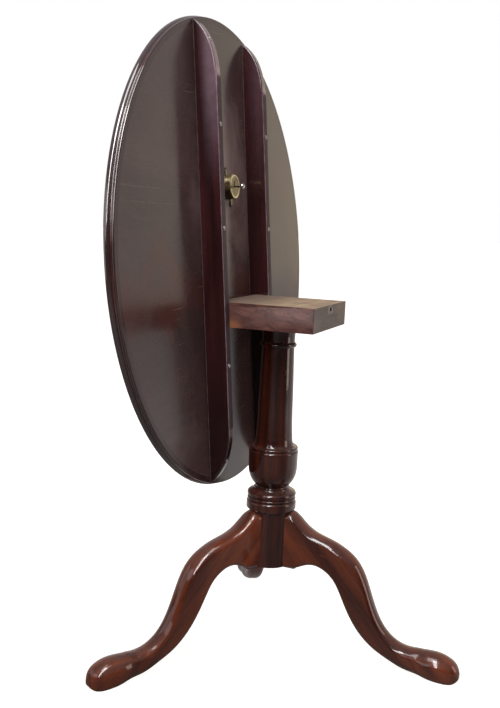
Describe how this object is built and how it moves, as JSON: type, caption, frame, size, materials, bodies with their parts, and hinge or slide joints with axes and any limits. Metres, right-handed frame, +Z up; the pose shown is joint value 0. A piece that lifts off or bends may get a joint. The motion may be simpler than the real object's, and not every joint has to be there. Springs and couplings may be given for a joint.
{
  "type": "tilt top table",
  "caption": "Round tilt-top tea table: moulded top on two bearers hinged to a block, turned column, cabriole tripod legs and a brass spring catch.",
  "frame": {"origin": "on the floor, on the axis of the column", "axes": "+Z up; X along the hinge of the top; +Y towards the end of the block that carries the strike plate; the tipped top stands on the -Y side with its polished face outwards"},
  "size_m": [0.9, 0.6306, 1.2261],
  "materials": {
    "top_wood": "dry, unpolished underside; french-polished face and moulded edge",
    "bearer_wood": "waxed dark red mahogany",
    "block_wood": "waxed sides, scrubbed raw upper face",
    "column_wood": "french-polished, glossy dark red",
    "leg_wood": "french-polished, glossy red-brown",
    "pin_wood": "plain turned hardwood",
    "iron": "dark forged iron",
    "steel_screw": "dulled steel",
    "spring_steel": "blued spring wire",
    "brass": "worn lacquered brass",
    "knob_metal": "rubbed white metal"
  },
  "bodies": {
    "stand": {"column": "column_wood", "block": "block_wood", "pintle_right": "pin_wood", "pintle_left": "pin_wood", "tenon_wedge": "pin_wood", "leg_strike_side": "leg_wood", "leg_right": "leg_wood", "leg_left": "leg_wood", "tripod_plate": "iron", "plate_screws": "iron", "strike_plate": "brass", "strike_screws": "brass"},
    "top": {"tabletop": "top_wood", "bearer_right": "bearer_wood", "bearer_left": "bearer_wood", "bearer_screws": "steel_screw", "catch_back": "brass", "catch_case": "brass", "catch_screws": "steel_screw", "catch_spring": "spring_steel"},
    "bolt": {"catch_bolt": "brass", "catch_stem": "steel_screw", "catch_knob": "knob_metal"}
  },
  "joints": [
    {"name": "top_tilt", "type": "hinge", "parent": "stand", "child": "top", "pos_m": [0, -0.09372, 0.686], "axis": [-1, 0, 0], "range_deg": [0, 94.5]},
    {"name": "catch_draw", "type": "slide", "parent": "top", "child": "bolt", "axis": [0, -0.0785, 0.9969], "range_m": [0, 0.009], "stiffness_N_per_m": 150, "springref_m": -0.01, "deforming": ["catch_spring"]}
  ]
}
